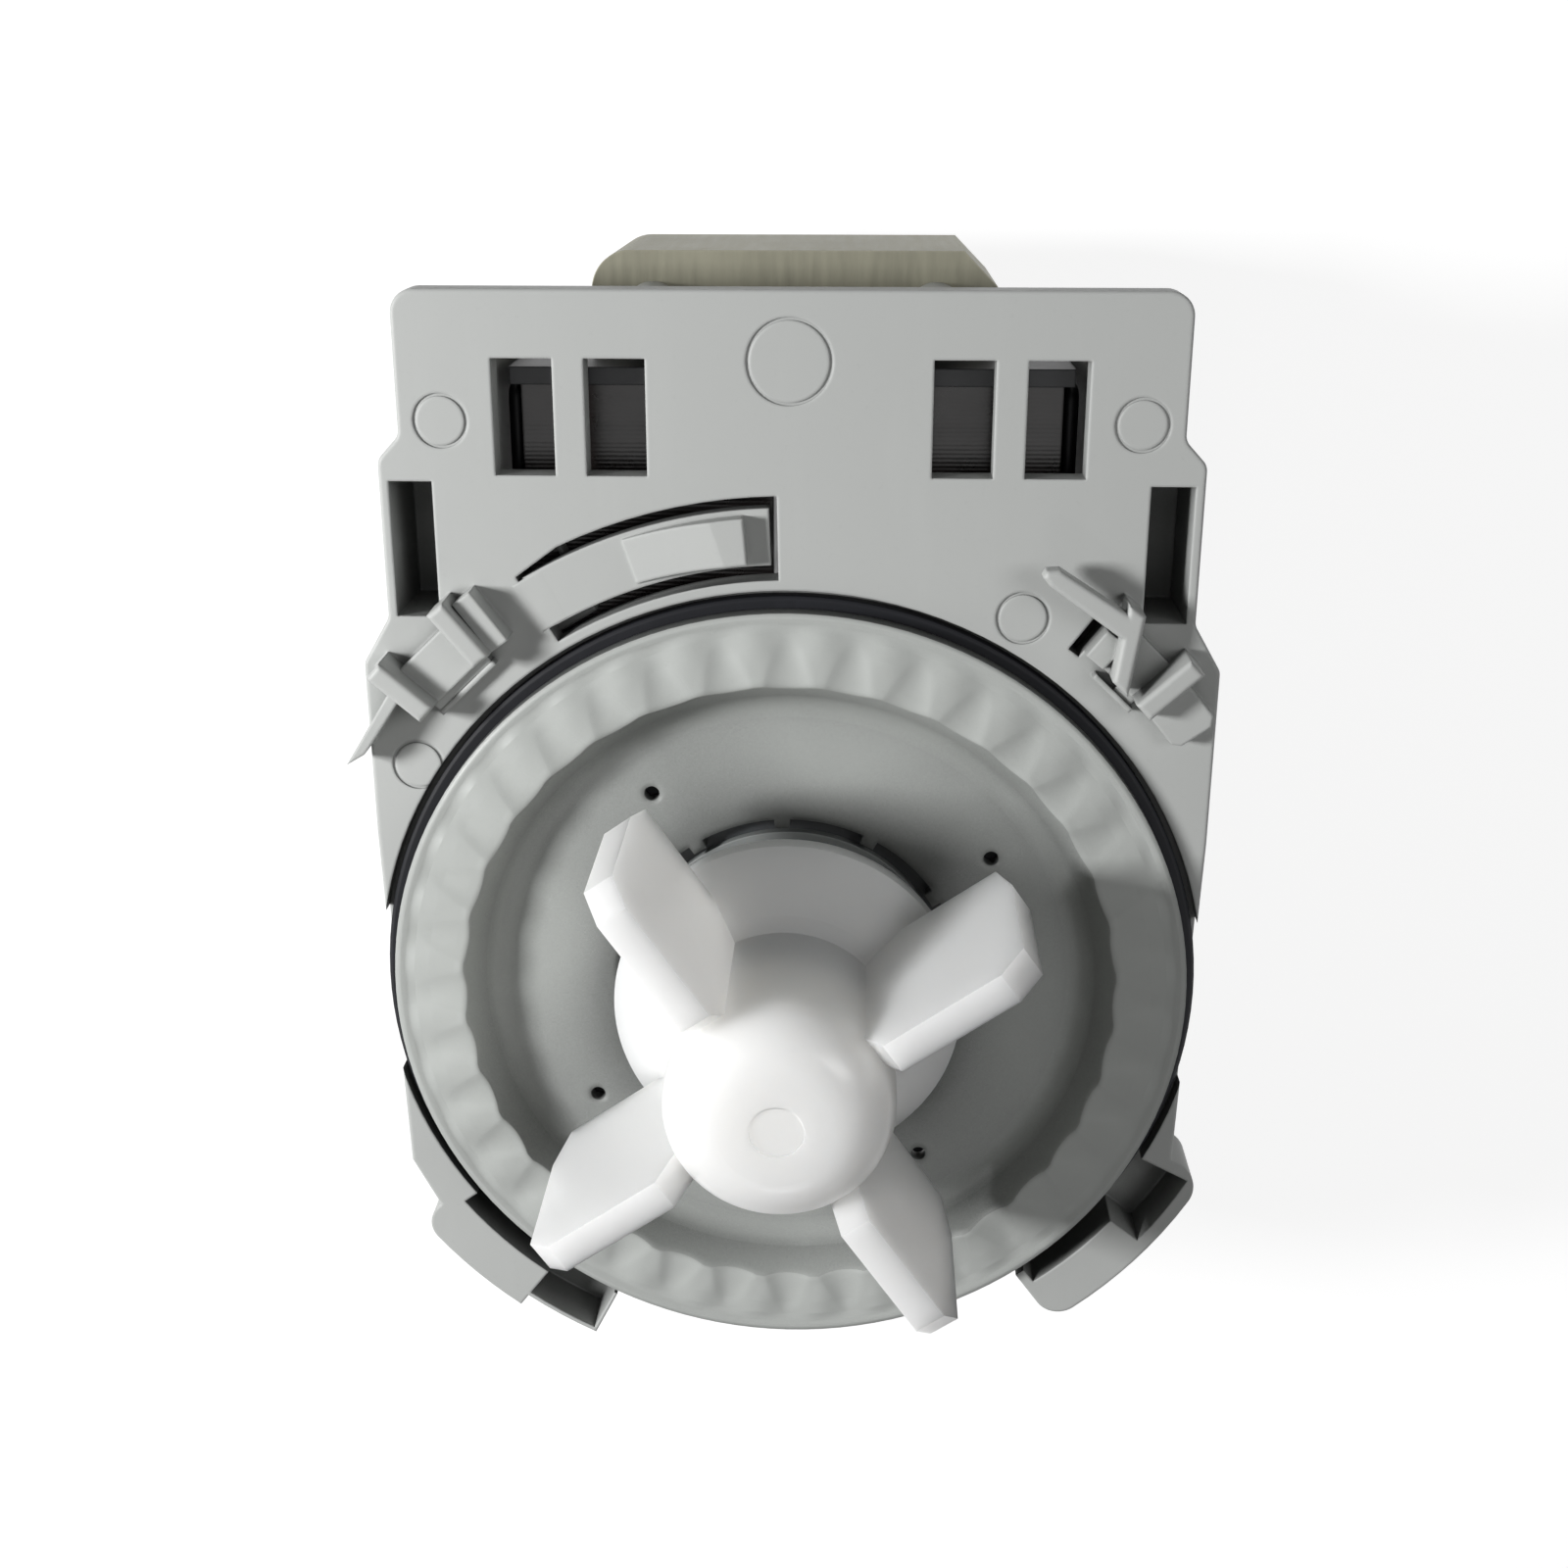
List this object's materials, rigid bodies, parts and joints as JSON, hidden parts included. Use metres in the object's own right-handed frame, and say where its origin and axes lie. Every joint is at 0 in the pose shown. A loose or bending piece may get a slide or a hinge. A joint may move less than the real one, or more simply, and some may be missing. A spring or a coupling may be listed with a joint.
{
  "type": "dishwasher drain pump",
  "caption": "Dishwasher drain pump: a bayonet mounting plate with fluted chamber ring, bladed white impeller, and a U-core motor behind it.",
  "frame": {"origin": "on the rotor's axis, in the plane of the mounting plate's front face", "axes": "+Z along the rotor's axis out through the impeller, +Y towards the yoke of the stator, +X to the right seen from the impeller side"},
  "size_m": [0.0832, 0.1111, 0.0762],
  "materials": {
    "grey_plastic": "satin moulded",
    "white_plastic": "glossy, slightly translucent",
    "black_rubber": "matte",
    "can_plastic": "moulded",
    "bush_carbon": "fine ground",
    "shaft_steel": "ground",
    "core_steel": "stamped laminations",
    "fastener_steel": "zinc plated",
    "ferrite": "pressed ferrite",
    "bobbin_plastic": "moulded",
    "copper": "enamelled wire",
    "coil_tape": "insulating tape",
    "tab_brass": "tinned brass"
  },
  "bodies": {
    "stator": {"mounting_plate": "grey_plastic", "chamber_flange": "grey_plastic", "ring_gasket": "black_rubber", "rotor_can": "can_plastic", "bearing_holder": "grey_plastic", "can_seal": "black_rubber", "front_bush": "bush_carbon", "front_bush_seat": "black_rubber", "rear_bush": "bush_carbon", "rear_bush_seat": "black_rubber", "pole_core": "core_steel", "yoke_core": "core_steel", "core_rivets": "fastener_steel", "core_screws": "fastener_steel", "yoke_screws": "fastener_steel", "bobbin_right": "bobbin_plastic", "bobbin_left": "bobbin_plastic", "winding_right": "copper", "winding_left": "copper", "coil_wrap_right": "coil_tape", "coil_wrap_left": "coil_tape", "terminal_block": "bobbin_plastic", "terminal_tabs": "tab_brass"},
    "tongue": {"lock_tongue": "grey_plastic"},
    "rotor": {"rotor_shaft": "shaft_steel", "rotor_sleeve": "can_plastic", "rotor_magnet": "ferrite", "thrust_washers": "shaft_steel", "drive_dog": "white_plastic"},
    "wheel": {"impeller": "white_plastic", "stop_buffers": "black_rubber", "impeller_cover": "white_plastic"}
  },
  "joints": [
    {"name": "rotor_spin", "type": "hinge", "parent": "stator", "child": "rotor", "pos_m": [0, 0, 0], "axis": [0, 0, 1], "continuous": true},
    {"name": "impeller_slip", "type": "hinge", "parent": "rotor", "child": "wheel", "pos_m": [0, 0, 0], "axis": [0, 0, 1], "range_deg": [-110, 110]},
    {"name": "tongue_flex", "type": "hinge", "parent": "stator", "child": "tongue", "pos_m": [-0.02283, 0.03953, -0.0009], "axis": [-0.5, 0.866, 0], "range_deg": [0, 6], "stiffness_Nm_per_rad": 0.35}
  ]
}
